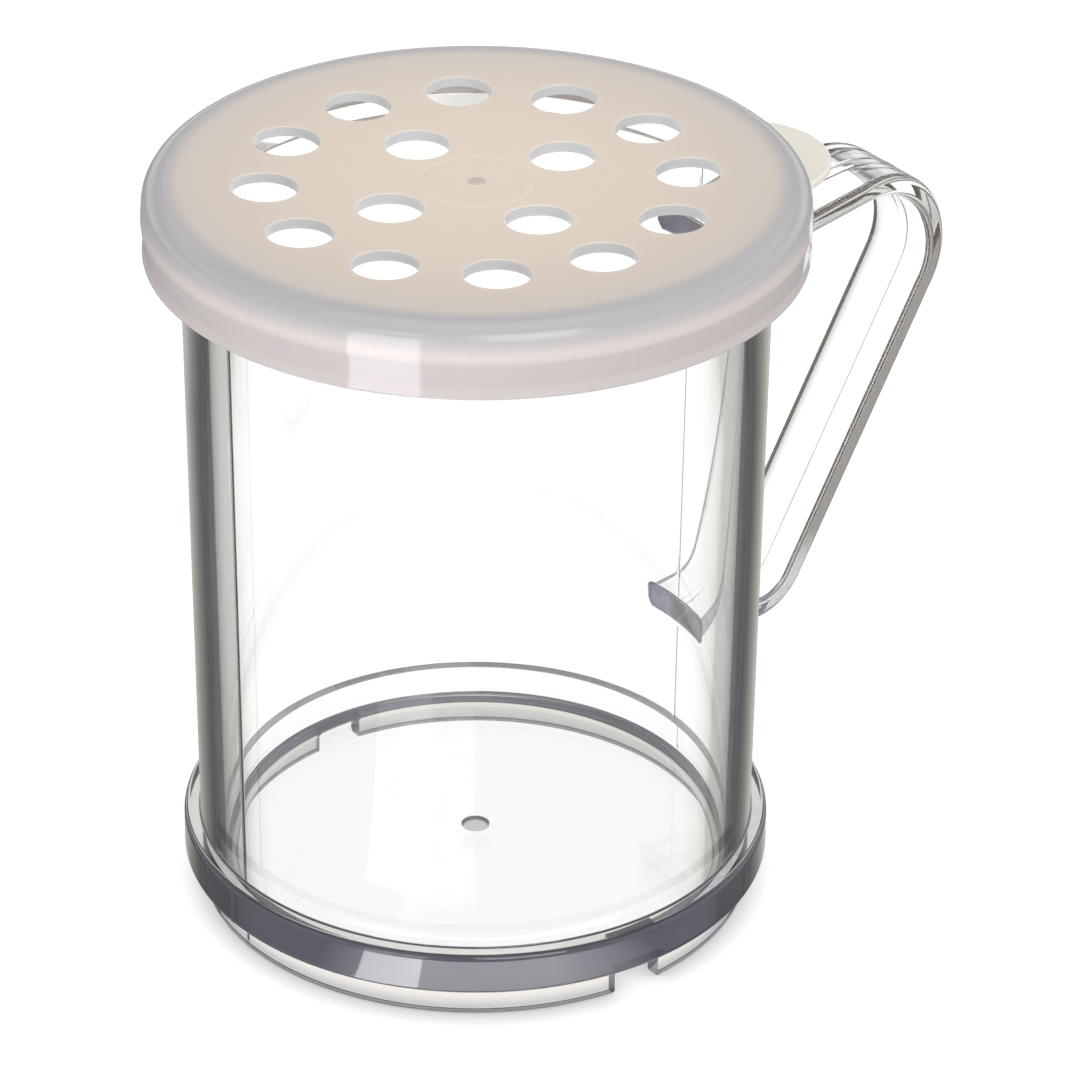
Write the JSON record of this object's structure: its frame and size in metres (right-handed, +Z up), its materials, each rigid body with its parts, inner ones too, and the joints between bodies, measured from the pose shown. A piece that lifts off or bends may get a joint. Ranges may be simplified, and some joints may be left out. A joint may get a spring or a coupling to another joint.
{
  "type": "spice shaker",
  "caption": "Clear straight-sided spice shaker with a ribbon side handle and a press-on translucent lid with round sprinkling holes and a lift tab.",
  "frame": {"origin": "on the cup's axis at table level", "axes": "+Z up along the cup's axis, +X towards the handle"},
  "size_m": [0.1083, 0.08, 0.0961],
  "materials": {
    "clear_polycarbonate": "water-clear moulded polycarbonate, polished, with a faint grey tint where the plastic is thick",
    "natural_polyethylene": "natural uncoloured polyethylene, translucent, with a soft satin surface"
  },
  "bodies": {
    "cup": {"cup_with_handle": "clear_polycarbonate"},
    "lid": {"shaker_lid": "natural_polyethylene"}
  },
  "joints": [
    {"name": "lid_lift", "type": "slide", "parent": "cup", "child": "lid", "axis": [0, 0, 1], "range_m": [0, 0.03]}
  ]
}
